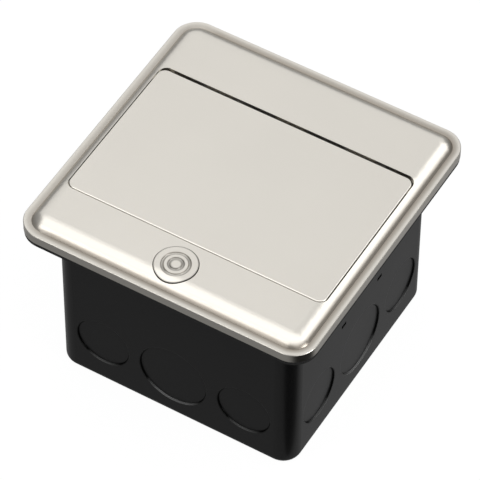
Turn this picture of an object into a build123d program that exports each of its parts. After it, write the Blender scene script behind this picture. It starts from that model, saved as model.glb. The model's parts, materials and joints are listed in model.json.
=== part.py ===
"""Pop-up floor socket box: a deep box, a face plate, and a hinged lid that lifts the sockets.

Frame: origin at the middle of the box's underside, +Z up, -Y to the release button, +X right.
The lid turns about an axis along X at its back edge. At rest the lid is shut and latched.
"""
import os
from math import atan2, cos, pi, radians, sin, sqrt, tan

from build123d import *

os.makedirs("parts", exist_ok=True)

# Box
box_side = 100.0
box_corner = 7.4
box_foot = 3.0
box_wall = 1.6
box_height = 77.2

# Knockouts, three in each wall
knockout_small = 22.2
knockout_large = 28.2
knockout_pitch = 30.0
knockout_height = 22.5
knockout_sink = 0.6
knockout_land = 0.3

# Side slots, holes in the base and the grounding pad
slot_length = 3.2
slot_height = 1.6
slot_spread = 26.0
slot_level = 45.0
base_hole = 5.2
base_hole_pitch = 60.0
pad_radius = 5.5
pad_height = 1.6
pad_y = -22.0
ground_screw = 4.0
ground_head = 8.4
ground_head_high = 2.6
ground_screw_short = 0.4

# Face plate and gasket
plate_side = 120.0
plate_corner = 9.5
flange_height = 3.85
rim_rise = 2.45
rim_run = 9.2
rim_lip = 3.0
rim_lip_fall = 0.25
rim_wall_slope = 50.0
rim_edge = 0.2
gasket_thick = 1.2
gasket_inset = 0.75
gasket_clear = 0.3

# Lid
lid_width = 106.6
lid_length = 66.0
lid_thick = 2.0
lid_corner = 3.2
lid_front = -35.5
lid_edge_round = 0.45
lid_gap = 0.35
lid_back_gap = 1.15
lid_rest_gap = 0.2
lid_heel_chamfer = 1.0
lid_rib_depth = 1.8
lid_rib_thick = 1.5
lid_rib_x = 17.0
lid_rib_front = -31.0
lid_rib_back = 22.0

# Hinge
hinge_drop = 2.8
hinge_inset = 3.2
rod_radius = 1.0
knuckle_radius = 2.3
knuckle_mid = 12.0
knuckle_side = 11.6
knuckle_side_x = 30.0
lug_radius = 1.8
lug_width = 3.0
lug_leg = 2.6
lug_gap = 0.3
run_fit = 0.05
seat_fit = 0.02
groove_clear = 0.25
clip_radius = 1.75
clip_thick = 0.5
clip_gap = 0.1
rod_tail = 0.4

# Opening in the plate, and the room below the lid's heel as it swings
opening_half = 41.5
opening_front = -32.5
opening_back = 30.2
opening_corner = 2.0
heel_room_front = 25.5
heel_room_drop = 4.7

# Inner frame, folded from one sheet
sheet = 1.2
frame_ledge = 1.3
frame_front = -38.2
frame_front_strip = 5.0
frame_back_strip_start = 25.9
frame_back = 36.2
frame_flange_drop = 7.0
frame_screw_front_x = 26.0
frame_screw_back_x = 30.0
frame_screw_back_y = 33.0

# Plate screws and their ears in the box
screw_x = 45.7
screw_y_front = -27.0
screw_y_back = 8.0
ear_width = 8.0
ear_depth = 9.0
ear_reach = 5.2
plate_screw = 3.5
plate_screw_hole = 3.9
plate_screw_head = 6.4
plate_screw_sink = 0.25
plate_screw_length = 11.0
thread_fit = 0.05

# Small machine screws
small_screw = 3.0
small_head = 5.4
small_head_high = 1.6
small_length = 5.0
drive_width = 0.9
drive_share = 0.72
drive_deep = 0.7

# Button
button_y = -46.7
button_diameter = 16.1
button_gap = 0.3
button_proud = 0.3
button_thick = 2.0
button_travel = 2.5
button_floor_clear = 0.3
groove_outer_radius = 4.95
groove_outer_width = 1.25
groove_inner_radius = 2.55
groove_inner_width = 1.1
stem_y = -43.0
stem_radius = 1.5
stem_fit = 0.08
boss_radius = 4.3
boss_drop = 6.2
boss_floor = 1.0
spring_bore = 3.0
button_spring_radius = 2.3
button_wire = 0.5
button_turns = 5.0
stem_clip_radius = 2.5
stem_clip_thick = 0.5
stem_clip_gap = 0.1
stem_groove_deep = 0.3

# Latch
bolt_thick = 3.0
bolt_below_boss = 3.5
bolt_half = 3.6
bolt_window_half = 1.8
bolt_back_wall = 1.1
bolt_nose = -28.1
bolt_nose_slope = 1.8
bolt_bar = 1.4
bolt_fit = 0.1
wedge_fit = 0.05
window_clear = 0.2
latch_spring_room = 4.8
latch_spring_radius = 1.2
latch_wire = 0.35
latch_turns = 4.0
latch_post_thick = 1.3
guide_wall = 1.0
guide_back = -32.4
guide_flange = 5.6
guide_screw_x = 7.6
striker_width = 8.0
striker_thick = 0.7
striker_lip = 2.5
striker_lip_front = -29.3
striker_below = 0.4
striker_flange = 7.0
rivet_radius = 1.0
rivet_head = 1.7
rivet_head_high = 0.8
rivet_x = 2.2
rivet_deep = 0.9

# Socket module
module_half = 37.5
module_wall = 1.4
module_top_drop = 3.2
module_front = -12.5
module_back = 22.8
module_bottom_drop = 41.0
module_heel = 10.0
module_flange = 4.5
module_side_flange = 6.5
lid_boss_radius = 3.2
lid_boss_x = 28.0
lid_boss_front = -4.9
lid_boss_back = 16.0
lid_tap_deep = 4.6
cover_thick = 1.2
cover_margin = 1.0
cover_screw_x = 33.6
cover_side_clear = 0.1
cover_corner = 1.5
bushing_rise = 5.0
bushing_bore = 11.0
bushing_neck = 14.4
bushing_outer = 20.0
bushing_inner = 16.4
bushing_out_thick = 2.2
bushing_in_thick = 1.2

# Duplex receptacle
outlet_pitch = 38.9
outlet_width = 28.6
outlet_height = 34.1
outlet_proud = 1.5
outlet_gap = 0.2
blade_pitch = 12.7
blade_hot = 6.6
blade_neutral = 8.2
blade_slot = 1.9
ground_hole = 5.4
ground_flat = 1.9
ground_offset = 11.9
outlet_shift = 4.4
bezel_half = 34.5
bezel_height = 34.6
bezel_thick = 3.0
body_half = 33.5
body_height = 29.0
body_depth = 17.0
contact_half = 29.0
contact_leaf = 0.6
contact_mouth = 1.6
contact_deep = 8.0
contact_room = 0.15
ground_sleeve_wall = 0.4
ground_sleeve_fit = 0.1
strap_width = 12.0
strap_tab = 9.0
strap_screw_y = 2.5
flat_head = 5.2
flat_head_deep = 1.1
terminal_head = 7.0
terminal_high = 1.7
terminal_x = 14.0
terminal_y = -2.0
terminal_shank = 3.0
terminal_length = 4.0

# Sector gear, pinion and damper
gear_module = 1.0
sector_teeth = 44
pinion_teeth = 10
pressure_angle = 20.0
profile_shift = 0.4
addendum = 1.0
dedendum = 1.25
tooth_thinning = 0.12
flank_points = 5
gear_thick = 2.6
gear_side_gap = 0.4
mesh_angle = 72.0
sector_first = -1
sector_last = 8
sector_start = 20.0
sector_stop = 143.0
sector_inner = 11.0
sector_screw_radius = 15.5
sector_screw_angles = (29.0, 54.0)
damper_shaft = 1.5
damper_hub = 2.6
damper_hub_gap = 0.3
damper_radius = 7.0
damper_thick = 4.6
damper_ear_pitch = 19.0
damper_ear_radius = 3.2
damper_ear_thick = 2.0
damper_shaft_deep = 3.4
damper_bore_clear = 0.2
damper_screw = 2.5
damper_screw_head = 4.4
damper_screw_head_high = 1.3
bracket_half = 13.0
bracket_below = 8.0
bracket_corner = 4.0

# Lift spring
spring_arm = 20.0
spring_post_y = -20.0
spring_post_drop = 30.7
spring_radius = 1.6
spring_wire = 0.7
spring_turns = 20
spring_end = 5.0
pin_radius = 1.3
pin_head = 2.2
pin_head_thick = 0.6
pin_loop_room = 3.1
loop_fit = 0.1
post_bracket_half = 5.0
post_bracket_below = 5.0
tail_margin = 4.0

# Rubber bumpers between the lid and the ledge
bumper_radius = 2.5
bumper_seat = 0.6
bumper_x = 47.5
bumper_y_front = -12.0
bumper_y_back = 19.0

# Levels and places that follow from the sizes
plate_bottom = box_height
flange_edge = plate_bottom + flange_height
plate_top = flange_edge + rim_rise
lid_bottom = plate_top - lid_thick
ledge_top = lid_bottom - lid_rest_gap
lid_back = lid_front + lid_length
lid_mid = lid_front + lid_length / 2
rim_top = flange_height + rim_rise
rim_foot = (rim_lip, flange_height - rim_lip_fall)
rim_crest = (
    rim_lip + (rim_rise + rim_lip_fall) / tan(radians(rim_wall_slope)),
    rim_top,
)
hinge_y = lid_back - hinge_inset
hinge_z = plate_top - hinge_drop
box_inner = box_side / 2 - box_wall
strip_bottom = plate_bottom - sheet
frame_half = opening_half + frame_ledge
frame_inner = frame_half - sheet
lug_inner_x = knuckle_side_x - knuckle_side / 2 - lug_gap - lug_width
lug_outer_x = knuckle_side_x + knuckle_side / 2 + lug_gap
clip_x = lug_outer_x + lug_width + clip_gap
rod_half = clip_x + clip_thick + rod_tail
module_top = hinge_z - module_top_drop
module_bottom = hinge_z - module_bottom_drop
module_mid = (module_top + module_bottom) / 2
bushing_z = module_mid + bushing_rise
spring_post_z = hinge_z - spring_post_drop
boss_bottom = plate_bottom - boss_drop
button_top = plate_top + button_proud
button_bottom = button_top - button_thick
button_floor = button_bottom - button_travel - button_floor_clear
bolt_top = boss_bottom - bolt_below_boss
bolt_bottom = bolt_top - bolt_thick
stem_front = stem_y - stem_radius
stem_back = stem_y + stem_radius
bolt_back = stem_front - wedge_fit - bolt_back_wall
wedge_window_back = stem_back + button_travel + window_clear
spring_window_front = wedge_window_back + bolt_bar
latch_post_front = spring_window_front + bolt_fit
latch_post_back = latch_post_front + latch_post_thick
spring_window_back = latch_post_back + latch_spring_room
bezel_front = module_front + module_wall
body_front = bezel_front + bezel_thick
body_back = body_front + body_depth
gear_start = module_half + gear_side_gap
gear_end = gear_start + gear_thick
mesh_distance = gear_module * (sector_teeth + pinion_teeth) / 2
pinion_y = hinge_y - mesh_distance * cos(radians(mesh_angle))
pinion_z = hinge_z - mesh_distance * sin(radians(mesh_angle))
front_screw_y = frame_front + frame_front_strip / 2
loop_x = -(module_half + pin_loop_room - loop_fit - spring_wire)
wall_planes = [
    Plane(origin=(0, -box_side / 2, 0), x_dir=(1, 0, 0), z_dir=(0, -1, 0)),
    Plane(origin=(box_side / 2, 0, 0), x_dir=(0, 1, 0), z_dir=(1, 0, 0)),
    Plane(origin=(0, box_side / 2, 0), x_dir=(-1, 0, 0), z_dir=(0, 1, 0)),
    Plane(origin=(-box_side / 2, 0, 0), x_dir=(0, -1, 0), z_dir=(-1, 0, 0)),
]
ear_spots = [(x, y) for x in (-screw_x, screw_x) for y in (screw_y_front, screw_y_back)]


def save(piece, name):
    """Label a finished piece and write its file."""
    piece.part.label = name
    export_step(piece.part, f"parts/{name}.step")


def facing(origin, normal, along):
    """A plane at a point, looking along a normal, with its first axis along a direction."""
    return Plane(origin=origin, x_dir=along, z_dir=normal)


def pan_screws(name, plane, spots, size, length, head, head_high):
    """Pan-head screws as one node: heads under the plane, shanks along its normal."""
    with BuildPart() as screws:
        with BuildSketch(plane.offset(-head_high)):
            with Locations(*spots):
                Circle(head / 2)
        extrude(amount=head_high)
        with BuildSketch(plane):
            with Locations(*spots):
                Circle(size / 2)
        extrude(amount=length)
        with BuildSketch(plane.offset(-head_high)):
            with Locations(*spots):
                Rectangle(head * drive_share, drive_width)
        extrude(amount=drive_deep, mode=Mode.SUBTRACT)
    save(screws, name)


def flat_screws(name, planes, size, length, head, head_deep):
    """Flat-head screws as one node: each plane lies in a head's face and looks inward."""
    with BuildPart() as screws:
        for plane in planes:
            with BuildSketch(plane):
                Circle(head / 2)
            with BuildSketch(plane.offset(head_deep)):
                Circle(size / 2)
            loft()
            with BuildSketch(plane.offset(head_deep)):
                Circle(size / 2)
            extrude(amount=length - head_deep)
            with BuildSketch(plane):
                Rectangle(head * drive_share, drive_width)
            extrude(amount=drive_deep, mode=Mode.SUBTRACT)
    save(screws, name)


def involute(base, radius):
    """The angle between an involute's start and the point where it reaches a radius."""
    if radius <= base:
        return 0.0
    slope = sqrt((radius / base) ** 2 - 1)
    return slope - atan2(slope, 1)


def tooth_half_angle(teeth, shift, radius):
    """Half of a tooth's angle, in radians, at a radius."""
    pitch = gear_module * teeth / 2
    base = pitch * cos(radians(pressure_angle))
    arc = gear_module * (pi / 2 + 2 * shift * tan(radians(pressure_angle))) - tooth_thinning
    return arc / (2 * pitch) + involute(base, pitch) - involute(base, radius)


def tooth_face(teeth, shift, direction, inner):
    """One tooth's outline about the origin of the working plane, down to an inner radius."""
    pitch = gear_module * teeth / 2
    base = pitch * cos(radians(pressure_angle))
    tip = pitch + gear_module * (addendum + shift)
    root = pitch - gear_module * (dedendum - shift)
    start = max(base, root)
    radii = [start + (tip - start) * step / (flank_points - 1) for step in range(flank_points)]
    left = []
    right = []
    for radius in radii:
        half = tooth_half_angle(teeth, shift, radius)
        left.append((radius * cos(direction + half), radius * sin(direction + half)))
        right.append((radius * cos(direction - half), radius * sin(direction - half)))
    half = tooth_half_angle(teeth, shift, start)
    foot_left = (inner * cos(direction + half), inner * sin(direction + half))
    foot_right = (inner * cos(direction - half), inner * sin(direction - half))
    with BuildLine() as flanks:
        Spline(*left)
        Line(left[-1], right[-1])
        Spline(*right)
        Polyline(left[0], foot_left, foot_right, right[0])
    make_face(flanks.edges())


# Floor box: deep drawn, with ears for the plate screws, knockouts and a grounding pad
with BuildPart() as floor_box:
    with BuildSketch():
        RectangleRounded(box_side, box_side, box_corner)
    extrude(amount=box_height)
    fillet(floor_box.faces().sort_by(Axis.Z)[0].edges(), box_foot)
    offset(amount=-box_wall, openings=floor_box.faces().sort_by(Axis.Z)[-1])
    for y in (screw_y_front, screw_y_back):
        with BuildSketch(Plane.XZ.offset(-y)):
            Polygon(
                (box_inner - ear_reach, box_height),
                (box_inner + box_wall / 2, box_height),
                (box_inner + box_wall / 2, box_height - ear_depth - ear_reach),
                (box_inner, box_height - ear_depth - ear_reach),
                (box_inner - ear_reach, box_height - ear_depth),
                align=None,
            )
            mirror(about=Plane.YZ)
        extrude(amount=ear_width / 2, both=True)
    with BuildSketch(Plane.XY.offset(box_wall / 2)):
        with Locations((0, pad_y)):
            Circle(pad_radius)
    extrude(amount=box_wall / 2 + pad_height)
    for plane in wall_planes:
        for sink, shrink, mode in (
            (0, 0, Mode.SUBTRACT),
            (box_wall, knockout_land, Mode.ADD),
        ):
            with BuildSketch(plane.offset(-sink)):
                with Locations((0, knockout_height)):
                    Circle(knockout_large / 2 - shrink)
                with Locations(
                    (-knockout_pitch, knockout_height), (knockout_pitch, knockout_height)
                ):
                    Circle(knockout_small / 2 - shrink)
            extrude(amount=-knockout_sink, mode=mode)
    for plane in (wall_planes[1], wall_planes[3]):
        with BuildSketch(plane):
            with Locations((-slot_spread / 2, slot_level), (slot_spread / 2, slot_level)):
                Rectangle(slot_length, slot_height)
        extrude(amount=-box_wall, mode=Mode.SUBTRACT)
    with BuildSketch(Plane.XY.offset(box_height)):
        with Locations(*ear_spots):
            Circle(plate_screw / 2 + thread_fit)
    extrude(amount=-(ear_depth + ear_reach), mode=Mode.SUBTRACT)
    with BuildSketch():
        with GridLocations(base_hole_pitch, base_hole_pitch, 2, 2):
            Circle(base_hole / 2)
        with Locations((0, pad_y)):
            Circle(ground_screw / 2 + thread_fit)
    extrude(amount=box_wall + pad_height, mode=Mode.SUBTRACT)
save(floor_box, "floor_box")

# Green grounding screw on its pad
pan_screws(
    "ground_screw",
    facing((0, pad_y, box_wall + pad_height), (0, 0, -1), (1, 0, 0)),
    [(0, 0)],
    ground_screw,
    box_wall + pad_height - ground_screw_short,
    ground_head,
    ground_head_high,
)

# Gasket between the flange and the floor
with BuildPart() as gasket:
    with BuildSketch(Plane.XY.offset(plate_bottom - gasket_thick)):
        RectangleRounded(
            plate_side - 2 * gasket_inset,
            plate_side - 2 * gasket_inset,
            plate_corner - gasket_inset,
        )
        RectangleRounded(
            box_side + 2 * gasket_clear,
            box_side + 2 * gasket_clear,
            box_corner + gasket_clear,
            mode=Mode.SUBTRACT,
        )
    extrude(amount=gasket_thick)
save(gasket, "gasket")

# Face plate: the rim's section is a lip, a hollow and a shoulder, carried round the edge
with BuildPart() as face_plate:
    half_side = plate_side / 2
    straight = half_side - plate_corner
    with BuildLine(Plane.XY.offset(plate_bottom)) as rim_path:
        leg = Line((0, -half_side), (straight, -half_side))
        for length in (2 * straight, 2 * straight, 2 * straight, straight):
            bend = JernArc(leg @ 1, leg % 1, plate_corner, 90)
            leg = Line(bend @ 1, bend @ 1 + (bend % 1) * length)
    with BuildSketch(facing((0, -half_side, plate_bottom), (1, 0, 0), (0, 1, 0))) as rim_section:
        with BuildLine():
            Polyline((rim_run, rim_top), (rim_run, 0), (0, 0), (0, flange_height - rim_edge))
            Line((0, flange_height - rim_edge), (rim_edge, flange_height))
            TangentArc(
                (rim_edge, flange_height),
                rim_foot,
                tangent=(1, 0),
            )
            Bezier(rim_foot, rim_crest, (rim_run, rim_top))
        make_face()
    sweep(path=rim_path.line)
    with BuildSketch(Plane.XY.offset(plate_bottom)):
        core = plate_side - 2 * rim_run
        RectangleRounded(core, core, plate_corner - rim_run)
    extrude(amount=plate_top - plate_bottom)
    # boss for the button's stem and return spring
    with BuildSketch(Plane.XY.offset(boss_bottom)):
        with Locations((0, stem_y)):
            Circle(boss_radius)
    extrude(amount=boss_drop)
    # seat for the lid, the opening for the module, and room for the lid's heel
    seat_y0 = lid_front - lid_gap
    seat_y1 = lid_back + lid_back_gap
    with BuildSketch(Plane.XY.offset(ledge_top)):
        with Locations((0, (seat_y0 + seat_y1) / 2)):
            RectangleRounded(lid_width + 2 * lid_gap, seat_y1 - seat_y0, lid_corner + lid_gap)
    extrude(amount=plate_top - ledge_top, mode=Mode.SUBTRACT)
    with BuildSketch(Plane.XY.offset(plate_bottom)):
        with Locations((0, (opening_front + opening_back) / 2)):
            RectangleRounded(2 * opening_half, opening_back - opening_front, opening_corner)
    extrude(amount=plate_top - plate_bottom, mode=Mode.SUBTRACT)
    with BuildSketch(Plane.XY.offset(plate_top - heel_room_drop)):
        with Locations((0, (heel_room_front + seat_y1) / 2)):
            Rectangle(lid_width + 2 * lid_gap, seat_y1 - heel_room_front)
    extrude(amount=heel_room_drop - (plate_top - ledge_top), mode=Mode.SUBTRACT)
    # button well, spring bore and stem hole
    for level, spot_y, radius in (
        (button_floor, button_y, button_diameter / 2 + button_gap),
        (boss_bottom + boss_floor, stem_y, spring_bore),
        (boss_bottom, stem_y, stem_radius + stem_fit),
    ):
        with BuildSketch(Plane.XY.offset(level)):
            with Locations((0, spot_y)):
                Circle(radius)
        extrude(amount=plate_top - level, mode=Mode.SUBTRACT)
    # plate screws, bumper seats and blind holes for the frame's screws
    with Locations(*[(x, y, ledge_top) for x, y in ear_spots]):
        CounterSinkHole(
            plate_screw_hole / 2,
            plate_screw_head / 2 + plate_screw_sink,
            ledge_top - plate_bottom,
            90,
        )
    with BuildSketch(Plane.XY.offset(ledge_top - bumper_seat)):
        with Locations(
            *[(x, y) for x in (-bumper_x, bumper_x) for y in (bumper_y_front, bumper_y_back)]
        ):
            Circle(bumper_radius)
    extrude(amount=bumper_seat, mode=Mode.SUBTRACT)
    frame_spots = [
        (-frame_screw_front_x, front_screw_y),
        (frame_screw_front_x, front_screw_y),
        (-frame_screw_back_x, frame_screw_back_y),
        (frame_screw_back_x, frame_screw_back_y),
    ]
    guide_spots = [(-guide_screw_x, front_screw_y), (guide_screw_x, front_screw_y)]
    with BuildSketch(Plane.XY.offset(plate_bottom)):
        with Locations(*frame_spots, *guide_spots):
            Circle(small_screw / 2 + thread_fit)
    extrude(amount=small_length - sheet, mode=Mode.SUBTRACT)
save(face_plate, "face_plate")

# Plate screws, from the ledge under the lid into the box's ears
flat_screws(
    "plate_screws",
    [facing((x, y, ledge_top - plate_screw_sink), (0, 0, -1), (1, 0, 0)) for x, y in ear_spots],
    plate_screw,
    plate_screw_length,
    plate_screw_head,
    (plate_screw_head - plate_screw) / 2,
)

# Rubber bumpers
with BuildPart() as lid_bumpers:
    with BuildSketch(Plane.XY.offset(ledge_top - bumper_seat)):
        with Locations(
            *[(x, y) for x in (-bumper_x, bumper_x) for y in (bumper_y_front, bumper_y_back)]
        ):
            Circle(bumper_radius - seat_fit)
    extrude(amount=bumper_seat + lid_rest_gap)
save(lid_bumpers, "lid_bumpers")

# Inner frame: a ring under the plate, side flanges, hinge lugs and two brackets
with BuildPart() as inner_frame:
    with BuildSketch(Plane.XY.offset(strip_bottom)):
        with Locations((0, (frame_front + frame_back) / 2)):
            Rectangle(2 * frame_half, frame_back - frame_front)
        window_front = frame_front + frame_front_strip
        with Locations((0, (window_front + frame_back_strip_start) / 2)):
            Rectangle(
                2 * frame_inner, frame_back_strip_start - window_front, mode=Mode.SUBTRACT
            )
    extrude(amount=sheet)
    with BuildSketch(Plane.XY.offset(plate_bottom - frame_flange_drop)):
        with Locations(
            (frame_half - sheet / 2, (frame_front + frame_back) / 2),
            (-frame_half + sheet / 2, (frame_front + frame_back) / 2),
        ):
            Rectangle(sheet, frame_back - frame_front)
    extrude(amount=frame_flange_drop)
    with BuildSketch(Plane.YZ.offset(frame_inner)):
        bracket_z0 = pinion_z - bracket_below
        with Locations((pinion_y, (bracket_z0 + plate_bottom) / 2)):
            Rectangle(2 * bracket_half, plate_bottom - bracket_z0)
        fillet(vertices().group_by(Axis.Y)[0], bracket_corner)
    extrude(amount=sheet)
    with BuildSketch(Plane.YZ.offset(-frame_half)):
        post_z0 = spring_post_z - post_bracket_below
        with Locations((spring_post_y, (post_z0 + plate_bottom) / 2)):
            Rectangle(2 * post_bracket_half, plate_bottom - post_z0)
    extrude(amount=sheet)
    for x in (lug_inner_x, lug_outer_x, -lug_inner_x - lug_width, -lug_outer_x - lug_width):
        with BuildSketch(Plane.YZ.offset(x)):
            with Locations((hinge_y, hinge_z)):
                Circle(lug_radius)
            with Locations((hinge_y, (hinge_z + strip_bottom) / 2)):
                Rectangle(lug_leg, hinge_z - strip_bottom)
        extrude(amount=lug_width)
    # rod bore, screw holes, damper shaft and screw holes, spring post hole
    with BuildSketch(Plane.YZ.offset(-rod_half)):
        with Locations((hinge_y, hinge_z)):
            Circle(rod_radius + seat_fit)
    extrude(amount=2 * rod_half, mode=Mode.SUBTRACT)
    with BuildSketch(Plane.XY.offset(strip_bottom)):
        with Locations(*frame_spots, *guide_spots):
            Circle(small_screw / 2 + thread_fit)
    extrude(amount=sheet, mode=Mode.SUBTRACT)
    with BuildSketch(Plane.YZ.offset(frame_inner)):
        with Locations((pinion_y, pinion_z)):
            Circle(damper_shaft + stem_fit)
        with Locations(
            (pinion_y - damper_ear_pitch / 2, pinion_z),
            (pinion_y + damper_ear_pitch / 2, pinion_z),
        ):
            Circle(damper_screw / 2 + thread_fit)
    extrude(amount=sheet, mode=Mode.SUBTRACT)
    with BuildSketch(Plane.YZ.offset(-frame_half)):
        with Locations((spring_post_y, spring_post_z)):
            Circle(pin_radius + seat_fit)
    extrude(amount=sheet, mode=Mode.SUBTRACT)
save(inner_frame, "inner_frame")

# Screws that hang the frame, and the latch guide, from the plate
pan_screws(
    "frame_screws",
    Plane.XY.offset(strip_bottom),
    frame_spots,
    small_screw,
    small_length,
    small_head,
    small_head_high,
)

# Hinge rod and its clips
with BuildPart() as hinge_rod:
    with BuildSketch(Plane.YZ.offset(-rod_half)):
        with Locations((hinge_y, hinge_z)):
            Circle(rod_radius)
    extrude(amount=2 * rod_half)
save(hinge_rod, "hinge_rod")

with BuildPart() as hinge_clips:
    for x in (clip_x, -clip_x - clip_thick):
        with BuildSketch(Plane.YZ.offset(x)):
            with Locations((hinge_y, hinge_z)):
                Circle(clip_radius)
                Circle(rod_radius + seat_fit, mode=Mode.SUBTRACT)
        extrude(amount=clip_thick)
save(hinge_clips, "hinge_clips")

# Lid: a cast slab with knuckles, ribs and screw bosses under it
with BuildPart() as lid:
    with BuildSketch(Plane.XY.offset(lid_bottom)):
        with Locations((0, lid_mid)):
            RectangleRounded(lid_width, lid_length, lid_corner)
    extrude(amount=lid_thick)
    fillet(lid.faces().sort_by(Axis.Z)[-1].edges(), lid_edge_round)
    chamfer(
        lid.faces().sort_by(Axis.Z)[0].edges().filter_by(Axis.X).sort_by(Axis.Y)[-1],
        lid_heel_chamfer,
    )
    for x0, width in (
        (-knuckle_mid / 2, knuckle_mid),
        (knuckle_side_x - knuckle_side / 2, knuckle_side),
        (-knuckle_side_x - knuckle_side / 2, knuckle_side),
    ):
        with BuildSketch(Plane.YZ.offset(x0)):
            with Locations((hinge_y, hinge_z)):
                Circle(knuckle_radius)
            with Locations((hinge_y, (hinge_z + plate_top - lid_thick / 2) / 2)):
                Rectangle(2 * knuckle_radius, plate_top - lid_thick / 2 - hinge_z)
        extrude(amount=width)
    boss_spots = [
        (x, y) for x in (-lid_boss_x, lid_boss_x) for y in (lid_boss_front, lid_boss_back)
    ]
    with BuildSketch(Plane.XY.offset(module_top)):
        with Locations(*boss_spots):
            Circle(lid_boss_radius)
    extrude(amount=lid_bottom - module_top)
    with BuildSketch(Plane.XY.offset(lid_bottom - lid_rib_depth)):
        with Locations(
            (-lid_rib_x, (lid_rib_front + lid_rib_back) / 2),
            (lid_rib_x, (lid_rib_front + lid_rib_back) / 2),
        ):
            Rectangle(lid_rib_thick, lid_rib_back - lid_rib_front)
    extrude(amount=lid_rib_depth)
    # room for the rod, the lugs and the clips
    reach = rod_half + lug_gap
    lug_reach = lug_radius + lug_gap
    for x0, x1, radius in (
        (-reach, reach, rod_radius + run_fit),
        (-lug_inner_x - lug_width - lug_gap, -lug_inner_x + lug_gap, lug_reach),
        (-reach, -lug_outer_x + lug_gap, lug_reach),
        (lug_inner_x - lug_gap, lug_inner_x + lug_width + lug_gap, lug_reach),
        (lug_outer_x - lug_gap, reach, lug_reach),
    ):
        with BuildSketch(Plane.YZ.offset(x0)):
            with Locations((hinge_y, hinge_z)):
                Circle(radius)
        extrude(amount=x1 - x0, mode=Mode.SUBTRACT)
    for x0, x1 in (
        (-lug_inner_x + lug_gap, -knuckle_mid / 2),
        (knuckle_mid / 2, lug_inner_x - lug_gap),
    ):
        with BuildSketch(Plane.YZ.offset(x0)):
            with Locations((hinge_y, hinge_z)):
                Circle(rod_radius + groove_clear)
        extrude(amount=x1 - x0, mode=Mode.SUBTRACT)
    # blind threads for the module's screws and the striker's rivets
    with BuildSketch(Plane.XY.offset(module_top)):
        with Locations(*boss_spots):
            Circle(small_screw / 2 + thread_fit)
    extrude(amount=lid_tap_deep, mode=Mode.SUBTRACT)
    strip_y = striker_lip_front + striker_lip
    rivet_spots = [(x, strip_y + striker_flange / 2) for x in (-rivet_x, rivet_x)]
    with BuildSketch(Plane.XY.offset(lid_bottom)):
        with Locations(*rivet_spots):
            Circle(rivet_radius + seat_fit)
    extrude(amount=rivet_deep, mode=Mode.SUBTRACT)
save(lid, "lid")

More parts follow.
